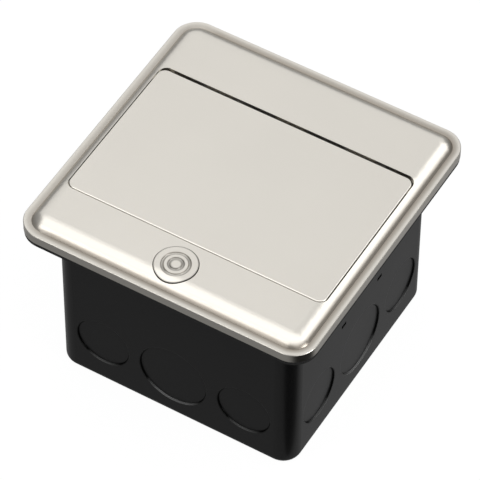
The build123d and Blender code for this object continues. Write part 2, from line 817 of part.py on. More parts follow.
# Module housing: folded sheet, open at the back, with two openings for the outlets in front
with BuildPart() as module_housing:
    profiles = []
    for inset in (0, module_wall):
        heel = module_heel - inset * (2 - sqrt(2))
        profiles.append(
            [
                (module_front + inset, module_bottom + inset),
                (module_back - inset - heel, module_bottom + inset),
                (module_back - inset, module_bottom + inset + heel),
                (module_back - inset, module_top - inset),
                (module_front + inset, module_top - inset),
            ]
        )
    with BuildSketch(Plane.YZ.offset(-module_half)):
        Polygon(*profiles[0], align=None)
    extrude(amount=2 * module_half)
    with BuildSketch(Plane.YZ.offset(-module_half)):
        Polygon(
            (module_back - tail_margin, hinge_z - spring_arm - tail_margin),
            (hinge_y + tail_margin, hinge_z - spring_arm - tail_margin),
            (hinge_y + tail_margin, hinge_z - spring_arm + tail_margin),
            (module_back - tail_margin, hinge_z - spring_arm + 2 * tail_margin),
            align=None,
        )
    extrude(amount=module_wall)
    with BuildSketch(Plane.YZ.offset(-module_half + module_wall)):
        Polygon(*profiles[1], align=None)
    extrude(amount=2 * (module_half - module_wall), mode=Mode.SUBTRACT)
    back_z0 = module_bottom + module_heel + module_flange
    back_z1 = module_top - module_flange
    with BuildSketch(Plane.XZ.offset(-module_back)):
        with Locations((0, (back_z0 + back_z1) / 2)):
            Rectangle(2 * (module_half - module_side_flange), back_z1 - back_z0)
    extrude(amount=module_wall, mode=Mode.SUBTRACT)
    outlet_spots = [(-outlet_pitch / 2, module_mid), (outlet_pitch / 2, module_mid)]
    with BuildSketch(Plane.XZ.offset(-module_front)):
        with Locations(*outlet_spots):
            Circle(outlet_height / 2 + outlet_gap)
        with Locations((0, module_mid)):
            Rectangle(
                outlet_pitch + outlet_width + 2 * outlet_gap, outlet_height * 2, mode=Mode.INTERSECT
            )
        with Locations((0, module_mid)):
            Rectangle(
                outlet_pitch - outlet_width - 2 * outlet_gap, outlet_height * 2, mode=Mode.SUBTRACT
            )
        with Locations((0, module_mid)):
            Circle(small_screw / 2 + thread_fit)
    extrude(amount=-module_wall, mode=Mode.SUBTRACT)
    with BuildSketch(Plane.XY.offset(module_top)):
        with Locations(*boss_spots):
            Circle(small_screw / 2 + thread_fit)
    extrude(amount=-module_wall, mode=Mode.SUBTRACT)
    cover_spots = [
        (x, z)
        for x in (-cover_screw_x, cover_screw_x)
        for z in (back_z0 - module_flange / 2, (back_z1 + module_top - module_wall) / 2)
    ]
    with BuildSketch(Plane.XZ.offset(-module_back)):
        with Locations(*cover_spots):
            Circle(damper_screw / 2 + thread_fit)
    extrude(amount=module_wall, mode=Mode.SUBTRACT)
    # flat-head screws of the strap on both sides, and of the gear on the right
    strap_planes = [
        facing((module_half, strap_screw_y, module_mid), (-1, 0, 0), (0, 1, 0)),
        facing((-module_half, strap_screw_y, module_mid), (1, 0, 0), (0, 1, 0)),
    ]
    for plane in strap_planes:
        with BuildSketch(plane):
            Circle(flat_head / 2 + thread_fit)
        with BuildSketch(plane.offset(flat_head_deep)):
            Circle(small_screw / 2 + thread_fit)
        loft(mode=Mode.SUBTRACT)
        with BuildSketch(plane):
            Circle(small_screw / 2 + thread_fit)
        extrude(amount=module_wall, mode=Mode.SUBTRACT)
    gear_screw_spots = [
        (
            hinge_y - sector_screw_radius * cos(radians(angle)),
            hinge_z - sector_screw_radius * sin(radians(angle)),
        )
        for angle in sector_screw_angles
    ]
    with BuildSketch(Plane.YZ.offset(module_half)):
        with Locations(*gear_screw_spots):
            Circle(small_screw / 2 + thread_fit)
    extrude(amount=-module_wall, mode=Mode.SUBTRACT)
    with BuildSketch(Plane.YZ.offset(-module_half)):
        with Locations((hinge_y, hinge_z - spring_arm)):
            Circle(pin_radius + seat_fit)
    extrude(amount=module_wall, mode=Mode.SUBTRACT)
save(module_housing, "module_housing")

# Screws from inside the module up into the lid's bosses
pan_screws(
    "lid_screws",
    Plane.XY.offset(module_top - module_wall),
    boss_spots,
    small_screw,
    small_length,
    small_head,
    small_head_high,
)

# Back cover of the module with its screws and the cable bushing
with BuildPart() as back_cover:
    with BuildSketch(Plane.XZ.offset(-module_back)):
        cover_z0 = back_z0 - module_flange + cover_margin / 2
        cover_z1 = module_top - cover_margin
        cover_half = module_half - module_wall - cover_side_clear
        with Locations((0, (cover_z0 + cover_z1) / 2)):
            RectangleRounded(2 * cover_half, cover_z1 - cover_z0, cover_corner)
        with Locations((0, bushing_z)):
            Circle(bushing_neck / 2 + thread_fit, mode=Mode.SUBTRACT)
        with Locations(*cover_spots):
            Circle(damper_screw / 2 + thread_fit, mode=Mode.SUBTRACT)
    extrude(amount=-cover_thick)
save(back_cover, "back_cover")

pan_screws(
    "cover_screws",
    facing((0, module_back + cover_thick, 0), (0, -1, 0), (1, 0, 0)),
    cover_spots,
    damper_screw,
    small_length,
    damper_screw_head,
    damper_screw_head_high,
)

with BuildPart() as cable_bushing:
    for y0, thick, outer in (
        (module_back - bushing_in_thick, bushing_in_thick, bushing_inner),
        (module_back, cover_thick, bushing_neck),
        (module_back + cover_thick, bushing_out_thick, bushing_outer),
    ):
        with BuildSketch(Plane.XZ.offset(-y0)):
            with Locations((0, bushing_z)):
                Circle(outer / 2)
                Circle(bushing_bore / 2, mode=Mode.SUBTRACT)
        extrude(amount=-thick)
save(cable_bushing, "cable_bushing")


def outlet_cuts(grow):
    """The blade slots and ground holes of both outlets, on the sketch in hand."""
    for x, z in outlet_spots:
        with Locations((x + outlet_shift, z + blade_pitch / 2)):
            Rectangle(blade_hot + grow, blade_slot + grow, mode=Mode.SUBTRACT)
        with Locations((x + outlet_shift, z - blade_pitch / 2)):
            Rectangle(blade_neutral + grow, blade_slot + grow, mode=Mode.SUBTRACT)
        with Locations((x + outlet_shift - ground_offset, z)):
            Circle(ground_hole / 2, mode=Mode.SUBTRACT)
        with Locations((x + outlet_shift - ground_offset + ground_flat / 2, z)):
            Rectangle(ground_flat, ground_hole, mode=Mode.SUBTRACT)


# Receptacle: a bezel with two outlet faces
with BuildPart() as receptacle_face:
    with BuildSketch(Plane.XZ.offset(-body_front)):
        with Locations((0, module_mid)):
            Rectangle(2 * bezel_half, bezel_height)
    extrude(amount=bezel_thick)
    with BuildSketch(Plane.XZ.offset(-bezel_front)):
        with Locations(*outlet_spots):
            Circle(outlet_height / 2)
        with Locations((0, module_mid)):
            Rectangle(outlet_pitch + outlet_width, outlet_height * 2, mode=Mode.INTERSECT)
        with Locations((0, module_mid)):
            Rectangle(outlet_pitch - outlet_width, outlet_height * 2, mode=Mode.SUBTRACT)
    extrude(amount=module_wall + outlet_proud)
    with BuildSketch(Plane.XZ.offset(-body_front)):
        with Locations((0, module_mid)):
            Rectangle(2 * bezel_half, bezel_height)
        outlet_cuts(0)
        with Locations((0, module_mid)):
            Circle(small_screw / 2 + thread_fit, mode=Mode.SUBTRACT)
    extrude(amount=bezel_thick + module_wall + outlet_proud, mode=Mode.INTERSECT)
save(receptacle_face, "receptacle_face")

# Receptacle body with pockets for the contacts
contact_outer = contact_mouth + 2 * contact_leaf
with BuildPart() as receptacle_body:
    with BuildSketch(Plane.XZ.offset(-body_back)):
        with Locations((0, module_mid)):
            Rectangle(2 * body_half, body_height)
    extrude(amount=body_depth)
    fillet(receptacle_body.edges().filter_by(Axis.Y), module_wall)
    with BuildSketch(Plane.XZ.offset(-body_front)):
        for side in (-1, 1):
            with Locations((0, module_mid + side * blade_pitch / 2)):
                Rectangle(2 * (contact_half + contact_room), contact_outer + 2 * contact_room)
        with Locations(*[(x + outlet_shift - ground_offset, z) for x, z in outlet_spots]):
            Circle(ground_hole / 2)
        with Locations((0, module_mid)):
            Circle(small_screw / 2 + thread_fit)
    extrude(amount=-(contact_deep + contact_room), mode=Mode.SUBTRACT)
    for side in (-1, 1):
        with BuildSketch(Plane.XY.offset(module_mid + side * body_height / 2)):
            with Locations((-terminal_x, terminal_y), (terminal_x, terminal_y)):
                Circle(terminal_shank / 2 + thread_fit)
        extrude(amount=-side * terminal_length, mode=Mode.SUBTRACT)
    with BuildSketch(Plane.XZ.offset(-body_back)):
        with Locations((0, module_mid)):
            Circle(terminal_shank / 2 + thread_fit)
    extrude(amount=terminal_length, mode=Mode.SUBTRACT)
save(receptacle_body, "receptacle_body")

# Screw that holds the receptacle to the housing's front
pan_screws(
    "centre_screw",
    facing((0, module_front, module_mid), (0, 1, 0), (1, 0, 0)),
    [(0, 0)],
    small_screw,
    bezel_thick + small_length,
    small_head,
    small_head_high,
)

# Live and neutral contacts: one folded strip each, open to the blades
for name, side in (("hot_contact", 1), ("neutral_contact", -1)):
    with BuildPart() as contact:
        with BuildSketch(Plane.YZ.offset(-contact_half)):
            middle = module_mid + side * blade_pitch / 2
            with Locations((body_front + contact_deep / 2, middle)):
                Rectangle(contact_deep, contact_outer)
            with Locations((body_front + (contact_deep - contact_leaf) / 2, middle)):
                Rectangle(contact_deep - contact_leaf, contact_mouth, mode=Mode.SUBTRACT)
        extrude(amount=2 * contact_half)
    save(contact, name)

# Ground sleeves behind the ground holes
with BuildPart() as ground_sleeves:
    sleeve_outer = ground_hole / 2 - ground_sleeve_fit
    with BuildSketch(Plane.XZ.offset(-body_front)):
        with Locations(*[(x + outlet_shift - ground_offset, z) for x, z in outlet_spots]):
            Circle(sleeve_outer)
            Circle(sleeve_outer - ground_sleeve_wall, mode=Mode.SUBTRACT)
    extrude(amount=-(contact_deep + contact_room))
save(ground_sleeves, "ground_sleeves")

# Mounting strap round the back of the receptacle, screwed to the housing's sides
with BuildPart() as mounting_strap:
    strap_half = module_half - module_wall
    with BuildSketch(Plane.XY.offset(module_mid - strap_width / 2)):
        Polygon(
            (-strap_half, body_back + sheet - strap_tab),
            (-strap_half, body_back + sheet),
            (strap_half, body_back + sheet),
            (strap_half, body_back + sheet - strap_tab),
            (strap_half - sheet, body_back + sheet - strap_tab),
            (strap_half - sheet, body_back),
            (-strap_half + sheet, body_back),
            (-strap_half + sheet, body_back + sheet - strap_tab),
            align=None,
        )
    extrude(amount=strap_width)
    with BuildSketch(Plane.YZ.offset(-strap_half)):
        with Locations((strap_screw_y, module_mid)):
            Circle(small_screw / 2 + thread_fit)
    extrude(amount=2 * strap_half, mode=Mode.SUBTRACT)
    with BuildSketch(Plane.XZ.offset(-body_back)):
        with Locations((0, module_mid)):
            Circle(terminal_shank / 2 + thread_fit)
    extrude(amount=-sheet, mode=Mode.SUBTRACT)
save(mounting_strap, "mounting_strap")

flat_screws(
    "strap_screws",
    strap_planes,
    small_screw,
    module_wall + sheet,
    flat_head,
    flat_head_deep,
)

# Terminal screws: two live, two neutral and one for ground on the strap
for name, side in (("hot_terminals", 1), ("neutral_terminals", -1)):
    pan_screws(
        name,
        facing((0, 0, module_mid + side * body_height / 2), (0, 0, -side), (1, 0, 0)),
        [(-terminal_x, -side * terminal_y), (terminal_x, -side * terminal_y)],
        terminal_shank,
        terminal_length,
        terminal_head,
        terminal_high,
    )
pan_screws(
    "ground_terminal",
    facing((0, body_back + sheet, module_mid), (0, -1, 0), (1, 0, 0)),
    [(0, 0)],
    terminal_shank,
    terminal_length + sheet,
    terminal_head,
    terminal_high,
)

# Sector gear on the module's right side, about the hinge axis
gear_plane = facing((gear_start, hinge_y, hinge_z), (1, 0, 0), (0, -1, 0))
with BuildPart() as sector_gear:
    sector_root = gear_module * (sector_teeth / 2 - dedendum - profile_shift)
    with BuildSketch(gear_plane):
        with BuildLine():
            outer = CenterArc((0, 0), sector_root, sector_start, sector_stop - sector_start)
            inner = CenterArc((0, 0), sector_inner, sector_start, sector_stop - sector_start)
            Line(outer @ 0, inner @ 0)
            Line(outer @ 1, inner @ 1)
        make_face()
        for tooth in range(sector_first, sector_last + 1):
            turn = radians(mesh_angle) + tooth * 2 * pi / sector_teeth
            tooth_face(sector_teeth, -profile_shift, turn, sector_root - gear_module / 2)
    extrude(amount=gear_thick)
    sector_screw_planes = [
        facing((gear_end, y, z), (-1, 0, 0), (0, 1, 0)) for y, z in gear_screw_spots
    ]
    for plane in sector_screw_planes:
        with BuildSketch(plane):
            Circle(flat_head / 2 + thread_fit)
        with BuildSketch(plane.offset(flat_head_deep)):
            Circle(small_screw / 2 + thread_fit)
        loft(mode=Mode.SUBTRACT)
        with BuildSketch(plane):
            Circle(small_screw / 2 + thread_fit)
        extrude(amount=gear_thick, mode=Mode.SUBTRACT)
save(sector_gear, "sector_gear")

with BuildPart() as gear_spacers:
    with BuildSketch(Plane.YZ.offset(module_half)):
        with Locations(*gear_screw_spots):
            Circle(flat_head / 2)
            Circle(small_screw / 2 + thread_fit, mode=Mode.SUBTRACT)
    extrude(amount=gear_side_gap)
save(gear_spacers, "gear_spacers")

flat_screws(
    "gear_screws",
    sector_screw_planes,
    small_screw,
    gear_thick + gear_side_gap + module_wall,
    flat_head,
    flat_head_deep,
)

# Damper pinion with its shaft through the bracket
with BuildPart() as damper_pinion:
    pinion_root = gear_module * (pinion_teeth / 2 - dedendum + profile_shift)
    pinion_plane = facing((gear_start, pinion_y, pinion_z), (1, 0, 0), (0, -1, 0))
    with BuildSketch(pinion_plane):
        Circle(pinion_root)
        for tooth in range(pinion_teeth):
            turn = pi + radians(mesh_angle) + (tooth + 0.5) * 2 * pi / pinion_teeth
            tooth_face(pinion_teeth, profile_shift, turn, pinion_root - gear_module / 2)
    extrude(amount=gear_thick)
    with BuildSketch(pinion_plane.offset(gear_thick)):
        Circle(damper_hub)
    extrude(amount=frame_inner - gear_end - damper_hub_gap)
    with BuildSketch(pinion_plane.offset(gear_thick)):
        Circle(damper_shaft)
    extrude(amount=frame_half + damper_shaft_deep - gear_end)
save(damper_pinion, "damper_pinion")

# Damper body outside the bracket, with two screwed ears
damper_spots = [(-damper_ear_pitch / 2, 0), (damper_ear_pitch / 2, 0)]
with BuildPart() as damper_body:
    damper_plane = facing((frame_half, pinion_y, pinion_z), (1, 0, 0), (0, 1, 0))
    with BuildSketch(damper_plane):
        Circle(damper_radius)
    extrude(amount=damper_thick)
    fillet(damper_body.faces().sort_by(Axis.X)[-1].edges(), stem_clip_thick)
    with BuildSketch(damper_plane):
        SlotCenterToCenter(damper_ear_pitch, 2 * damper_ear_radius)
    extrude(amount=damper_ear_thick)
    with BuildSketch(damper_plane):
        Circle(damper_shaft + stem_fit)
    extrude(amount=damper_shaft_deep + damper_bore_clear, mode=Mode.SUBTRACT)
    with BuildSketch(damper_plane):
        with Locations(*damper_spots):
            Circle(damper_screw / 2 + thread_fit)
    extrude(amount=damper_ear_thick, mode=Mode.SUBTRACT)
save(damper_body, "damper_body")

pan_screws(
    "damper_screws",
    facing((frame_half + damper_ear_thick, pinion_y, pinion_z), (-1, 0, 0), (0, 1, 0)),
    damper_spots,
    damper_screw,
    damper_ear_thick + sheet,
    damper_screw_head,
    damper_screw_head_high,
)

# Pins for the lift spring: one in the module's tail, one in the left bracket
pin_end = module_half + pin_loop_room
with BuildPart() as spring_pin:
    with BuildSketch(Plane.YZ.offset(-pin_end)):
        with Locations((hinge_y, hinge_z - spring_arm)):
            Circle(pin_radius)
    extrude(amount=pin_end - module_half + module_wall)
    with BuildSketch(Plane.YZ.offset(-pin_end - pin_head_thick)):
        with Locations((hinge_y, hinge_z - spring_arm)):
            Circle(pin_head)
    extrude(amount=pin_head_thick)
save(spring_pin, "spring_pin")

with BuildPart() as spring_post:
    with BuildSketch(Plane.YZ.offset(-frame_half)):
        with Locations((spring_post_y, spring_post_z)):
            Circle(pin_radius)
    extrude(amount=frame_half + loop_x + spring_wire)
    with BuildSketch(Plane.YZ.offset(loop_x + spring_wire)):
        with Locations((spring_post_y, spring_post_z)):
            Circle(pin_head)
    extrude(amount=pin_head_thick)
    with BuildSketch(Plane.YZ.offset(-frame_half - pin_head_thick)):
        with Locations((spring_post_y, spring_post_z)):
            Circle(pin_head)
    extrude(amount=pin_head_thick)
save(spring_post, "spring_post")

# Lift spring, drawn as ringed coils between its two loops
spring_run = Vector(0, spring_post_y - hinge_y, spring_post_z - hinge_z + spring_arm)
spring_plane = Plane(
    origin=(loop_x, hinge_y, hinge_z - spring_arm), x_dir=spring_run, z_dir=(1, 0, 0)
)
with BuildPart() as lift_spring:
    coil_start = spring_end
    coil_stop = spring_run.length - spring_end
    coil_pitch = (coil_stop - coil_start) / spring_turns
    with BuildSketch(spring_plane):
        with BuildLine():
            crests = [(coil_start, spring_radius - spring_wire)]
            for turn in range(spring_turns):
                crests.append((coil_start + (turn + 0.5) * coil_pitch, spring_radius))
                crests.append((coil_start + (turn + 1) * coil_pitch, spring_radius - spring_wire))
            Polyline((coil_start, 0), *crests, (coil_stop, 0), close=True)
        make_face()
    revolve(axis=Axis(spring_plane.origin, spring_plane.x_dir))
    loop_radius = pin_radius + loop_fit + spring_wire / 2
    for along in (0, spring_run.length):
        spot = spring_plane.origin + spring_plane.x_dir * along
        with BuildSketch(facing(spot + (0, 0, loop_radius), (0, 1, 0), (1, 0, 0))):
            Circle(spring_wire / 2)
        revolve(axis=Axis(spot, (1, 0, 0)))
    for start, stop in (
        (loop_radius, coil_start + coil_pitch),
        (coil_stop - coil_pitch, spring_run.length - loop_radius),
    ):
        with BuildSketch(
            Plane(
                origin=spring_plane.origin + spring_plane.x_dir * start,
                z_dir=spring_plane.x_dir,
            )
        ):
            Circle(spring_wire / 2)
        extrude(amount=stop - start)
save(lift_spring, "lift_spring")

# Release button: a turned cap with two ring grooves, on a stem with a wedge at its foot
with BuildPart() as release_button:
    with BuildSketch(Plane.XY.offset(button_bottom)):
        with Locations((0, button_y)):
            Circle(button_diameter / 2)
    extrude(amount=button_thick)
    # its top follows the rim's shoulder, a little above it
    with BuildSketch(facing((0, -half_side, plate_bottom + button_proud), (1, 0, 0), (0, 1, 0))):
        with BuildLine():
            Bezier(rim_foot, rim_crest, (rim_run, rim_top))
            Polyline(
                (rim_run, rim_top), (half_side, rim_top), (half_side, 0), (rim_lip, 0), rim_foot
            )
        make_face()
    extrude(amount=button_diameter, both=True, mode=Mode.INTERSECT)
    # two round-bottomed ring grooves
    for radius, width in (
        (groove_outer_radius, groove_outer_width),
        (groove_inner_radius, groove_inner_width),
    ):
        with BuildSketch(Plane.XZ.offset(-button_y)):
            with Locations((radius, button_top)):
                Circle(width / 2)
        revolve(axis=Axis((0, button_y, 0), (0, 0, 1)), mode=Mode.SUBTRACT)
    with BuildSketch(Plane.XY.offset(bolt_bottom)):
        with Locations((0, stem_y)):
            Circle(stem_radius)
    extrude(amount=button_bottom - bolt_bottom)
    with BuildSketch(Plane.YZ.offset(-boss_radius)):
        Polygon(
            (stem_back, bolt_bottom),
            (stem_front, bolt_top),
            (stem_front, bolt_bottom),
            align=None,
        )
    extrude(amount=2 * boss_radius, mode=Mode.SUBTRACT)
    with BuildSketch(Plane.XY.offset(boss_bottom - stem_clip_gap - stem_clip_thick)):
        with Locations((0, stem_y)):
            Circle(stem_radius)
            Circle(stem_radius - stem_groove_deep, mode=Mode.SUBTRACT)
    extrude(amount=stem_clip_thick, mode=Mode.SUBTRACT)
save(release_button, "release_button")

with BuildPart() as button_clip:
    with BuildSketch(Plane.XY.offset(boss_bottom - stem_clip_gap - stem_clip_thick)):
        with Locations((0, stem_y)):
            Circle(stem_clip_radius)
            Circle(stem_radius - stem_groove_deep + seat_fit, mode=Mode.SUBTRACT)
        with Locations((0, stem_y - stem_clip_radius)):
            Rectangle(stem_radius, 2 * stem_clip_radius, mode=Mode.SUBTRACT)
    extrude(amount=stem_clip_thick)
save(button_clip, "button_clip")


def coil(origin, direction, radius, wire, length, turns):
    """A compression spring's wire, ground flush within its length."""
    rise = length - 2 * wire
    with BuildPart() as spring:
        start = Plane(origin=origin, z_dir=direction).offset(wire).origin
        with BuildLine() as path:
            Helix(rise / turns, rise, radius, center=start, direction=direction)
        with BuildSketch(Plane(origin=path.line @ 0, z_dir=path.line % 0)) as section:
            RegularPolygon(wire / 2, 6)
        sweep(section.sketch, path=path.line, is_frenet=True)
    return spring


button_spring = coil(
    (0, stem_y, boss_bottom + boss_floor),
    (0, 0, 1),
    button_spring_radius,
    button_wire,
    button_bottom - boss_bottom - boss_floor,
    button_turns,
)
save(button_spring, "button_spring")

# Latch bolt: a flat bar with a ramp for the stem's wedge and a window for its spring
with BuildPart() as latch_bolt:
    with BuildSketch(Plane.YZ.offset(-bolt_half)):
        Polygon(
            (bolt_back, bolt_bottom),
            (bolt_nose, bolt_bottom),
            (bolt_nose, bolt_top - bolt_nose_slope),
            (bolt_nose - bolt_nose_slope, bolt_top),
            (bolt_back, bolt_top),
            align=None,
        )
    extrude(amount=2 * bolt_half)
    with BuildSketch(Plane.YZ.offset(-bolt_window_half)):
        Polygon(
            (stem_back - wedge_fit * sqrt(2), bolt_bottom),
            (wedge_window_back, bolt_bottom),
            (wedge_window_back, bolt_top),
            (stem_front - wedge_fit * sqrt(2), bolt_top),
            align=None,
        )
    extrude(amount=2 * bolt_window_half, mode=Mode.SUBTRACT)
    with BuildSketch(Plane.XY.offset(bolt_bottom)):
        with Locations((0, (spring_window_front + spring_window_back) / 2)):
            Rectangle(2 * bolt_window_half, spring_window_back - spring_window_front)
    extrude(amount=bolt_thick, mode=Mode.SUBTRACT)
save(latch_bolt, "latch_bolt")

# Latch guide: a folded channel under the frame, with a post for the spring
with BuildPart() as latch_guide:
    guide_half = bolt_half + bolt_fit
    with BuildSketch(Plane.XZ.offset(-guide_back)):
        for side in (-1, 1):
            with Locations(
                (
                    side * (guide_half + guide_wall / 2),
                    (bolt_bottom - bolt_fit - guide_wall + strip_bottom) / 2,
                )
            ):
                Rectangle(guide_wall, strip_bottom - bolt_bottom + bolt_fit + guide_wall)
            with Locations(
                (side * (guide_half + guide_flange / 2), strip_bottom - guide_wall / 2)
            ):
                Rectangle(guide_flange, guide_wall)
        with Locations((0, bolt_bottom - bolt_fit - guide_wall / 2)):
            Rectangle(2 * guide_half, guide_wall)
        with Locations((0, bolt_top + bolt_fit + guide_wall / 2)):
            Rectangle(2 * guide_half, guide_wall)
    extrude(amount=guide_back - frame_front)
    with BuildSketch(Plane.XY.offset(bolt_bottom - bolt_fit)):
        with Locations((0, (latch_post_front + latch_post_back) / 2)):
            Rectangle(2 * (bolt_window_half - bolt_fit), latch_post_thick)
    extrude(amount=bolt_thick + 2 * bolt_fit)
    with BuildSketch(Plane.XY.offset(strip_bottom)):
        with Locations(*guide_spots):
            Circle(small_screw / 2 + thread_fit)
    extrude(amount=-guide_wall, mode=Mode.SUBTRACT)
save(latch_guide, "latch_guide")

pan_screws(
    "guide_screws",
    Plane.XY.offset(strip_bottom - guide_wall),
    guide_spots,
    small_screw,
    small_length,
    small_head,
    small_head_high,
)

latch_spring = coil(
    (0, latch_post_back, (bolt_top + bolt_bottom) / 2),
    (0, 1, 0),
    latch_spring_radius,
    latch_wire,
    latch_spring_room,
    latch_turns,
)
save(latch_spring, "latch_spring")

# Striker: a spring-steel hook under the lid's front, with its rivets
with BuildPart() as striker_spring:
    striker_bottom = bolt_bottom - striker_below - striker_thick
    with BuildSketch(Plane.YZ.offset(-striker_width / 2)):
        Polygon(
            (striker_lip_front, striker_bottom),
            (strip_y, striker_bottom),
            (strip_y, lid_bottom - striker_thick),
            (strip_y + striker_flange, lid_bottom - striker_thick),
            (strip_y + striker_flange, lid_bottom),
            (strip_y - striker_thick, lid_bottom),
            (strip_y - striker_thick, striker_bottom + striker_thick),
            (striker_lip_front, striker_bottom + striker_thick),
            align=None,
        )
    extrude(amount=striker_width)
    with BuildSketch(Plane.XY.offset(lid_bottom)):
        with Locations(*rivet_spots):
            Circle(rivet_radius + seat_fit)
    extrude(amount=-striker_thick, mode=Mode.SUBTRACT)
save(striker_spring, "striker_spring")

with BuildPart() as striker_rivets:
    with BuildSketch(Plane.XY.offset(lid_bottom - striker_thick)):
        with Locations(*rivet_spots):
            Circle(rivet_radius)
    extrude(amount=striker_thick + rivet_deep - seat_fit)
    with BuildSketch(Plane.XY.offset(lid_bottom - striker_thick - rivet_head_high)):
        with Locations(*rivet_spots):
            Circle(rivet_head)
    extrude(amount=rivet_head_high)
save(striker_rivets, "striker_rivets")
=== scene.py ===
"""Floor socket box: finishes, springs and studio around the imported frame."""
import json
import math

import bmesh
import bpy
from mathutils import Matrix, Vector


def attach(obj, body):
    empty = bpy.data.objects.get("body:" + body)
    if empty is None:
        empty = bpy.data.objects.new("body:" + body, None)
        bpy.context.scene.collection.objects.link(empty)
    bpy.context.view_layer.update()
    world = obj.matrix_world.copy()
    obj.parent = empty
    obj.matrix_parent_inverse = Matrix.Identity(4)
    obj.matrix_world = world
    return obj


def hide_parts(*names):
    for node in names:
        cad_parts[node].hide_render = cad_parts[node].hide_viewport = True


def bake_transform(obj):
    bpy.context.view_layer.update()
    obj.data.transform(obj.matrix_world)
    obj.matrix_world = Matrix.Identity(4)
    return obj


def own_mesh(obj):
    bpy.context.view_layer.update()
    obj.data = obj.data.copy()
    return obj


bl_info = {
    "name": "Floor Socket Box",
    "version": (1, 0, 0),
    "blender": (4, 5, 0),
    "location": "View3D > Sidebar > Floor Box",
    "description": "Finishes, springs and studio for a pop-up floor socket box",
    "category": "Object",
}

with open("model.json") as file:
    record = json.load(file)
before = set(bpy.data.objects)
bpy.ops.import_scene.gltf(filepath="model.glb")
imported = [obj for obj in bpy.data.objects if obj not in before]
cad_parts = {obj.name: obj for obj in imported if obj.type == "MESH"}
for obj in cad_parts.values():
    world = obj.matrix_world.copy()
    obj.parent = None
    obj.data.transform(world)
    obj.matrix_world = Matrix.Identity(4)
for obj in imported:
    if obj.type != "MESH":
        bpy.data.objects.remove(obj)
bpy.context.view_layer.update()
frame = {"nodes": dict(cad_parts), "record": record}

MM = 0.001
WHITE = (1, 1, 1)

# places and sizes of the CAD pieces that the patterns in the finishes follow
PLATE_HALF = 60 * MM
PLATE_CORNER = 9.5 * MM
BOX_HALF = 50 * MM
BUTTON_Y = -46.7 * MM
KNOCKOUT_HEIGHT = 22.5 * MM
# each knockout's place along its wall and its radius
KNOCKOUTS = ((0.0, 14.1 * MM), (30 * MM, 11.1 * MM))

# patches to a metre of each finish's clouding, and of the paint's orange peel
METAL_CLOUDS = 26
COAT_CLOUDS = 45
MOULDED_CLOUDS = 60
COAT_PEEL = 1500
# the share of the fine grain in a finish's colour, beside its clouding
GRAIN_SHARE = 0.4
PEEL_SHARE = 0.5
GRAIN_DEPTH = 0.06 * MM
PEEL_DEPTH = 0.08 * MM
RIM_DEPTH = 0.3 * MM
COAT_GLOSS = 0.38
# the darker tone of a finish, as a share of its light one
NICKEL_DARK = 0.93
COAT_DARK = 0.8
ZINC_DARK = 0.8
SEAL_DARK = 0.7

# the stops of these ramps are a place, as a share of the reach, and how light the finish is
# painted shade in the crease behind the plate's rim, from the plate's edge inwards
CREASE_SHADE_REACH = 8 * MM
CREASE_SHADE_STOPS = (
    (0.0, 1.0),
    (0.1, 0.95),
    (0.22, 0.62),
    (0.34, 0.44),
    (0.46, 0.44),
    (0.6, 0.9),
    (0.72, 1.0),
)
# the warm colour that the painted crease shade darkens towards
CREASE_SHADE_TONE = (0.10, 0.05, 0.0)
# the painted crease shade is fainter at the plate's left edge
CREASE_SHADE_LEFT = ((0.06, 0.6), (0.12, 1.0))
# painted shade in the grooves and at the edge of the button, from its middle outwards
RING_SHADE_REACH = 10 * MM
RING_SHADE_STOPS = (
    (0.14, 1.0),
    (0.21, 0.48),
    (0.29, 0.48),
    (0.34, 1.0),
    (0.42, 1.0),
    (0.46, 0.52),
    (0.53, 0.52),
    (0.58, 1.0),
    (0.76, 1.0),
    (0.80, 0.45),
)
# the cut rim of a knockout, away from its circle, as a bump and as painted shade, and a painted
# glint beside its lower half
RIM_REACH = 1 * MM
RIM_CUT_AND_SHADE = ((0.2, 0.0), (0.4, 1.0))
RIM_NEAR = ((0.18, 1.0), (0.36, 0.0))
RIM_LOWER = ((0.42, 1.0), (0.62, 0.0))
RIM_GLINT = (0.15, 0.15, 0.15)

SENSOR_WIDTH_MM = 36
CAMERA_REACH = 20.0
MIDDLE = (0, 0, 60 * MM)
# each lamp's name, setting for its power, width and length, place and what it faces
LAMPS = (
    ("softbox", "softbox", (2.3, 1.7), (0.24, -0.35, 1.3), (0.24, -0.35, 0)),
    ("side_light", "side", (0.7, 0.5), (1.4, -0.15, 0.45), MIDDLE),
    ("fill_light", "fill", (2.0, 1.5), (-0.72, 1.2, 1.1), MIDDLE),
    ("front_light", "front", (1.0, 0.5), (-0.55, -1.15, 1.15), MIDDLE),
    ("back_light", "back", (1.1, 0.8), (0.6, 0.8, 1.0), MIDDLE),
)
FLOOR_HALF = 4.0
PAPER_GREY = 0.5
# how bright the camera sees the paper, and its share over the paper's own shadow
PAPER_GLOW = 1.07
PAPER_GLOW_SHARE = 0.9
# painted reflection: tones that the floor glows with where the object mirrors it,
# round the box's front right corner, from its left by the front:
# grey in front, dark past the corner and lighter behind it
FLOOR_TONES = (
    (0.0, 0.22),
    (0.28, 0.20),
    (0.35, 0.0),
    (0.54, 0.0),
    (0.60, 0.26),
    (0.75, 0.32),
)

# how finely the springs' wires are drawn
EYE_STEPS = 28
EYE_ARC = 0.94 * 2 * math.pi
LIFT_COIL_STEPS = 14
PRESS_COIL_STEPS = 16
# the lift spring's coil radius at its necks, as a share of the full one
NECK_SHARE = 0.25


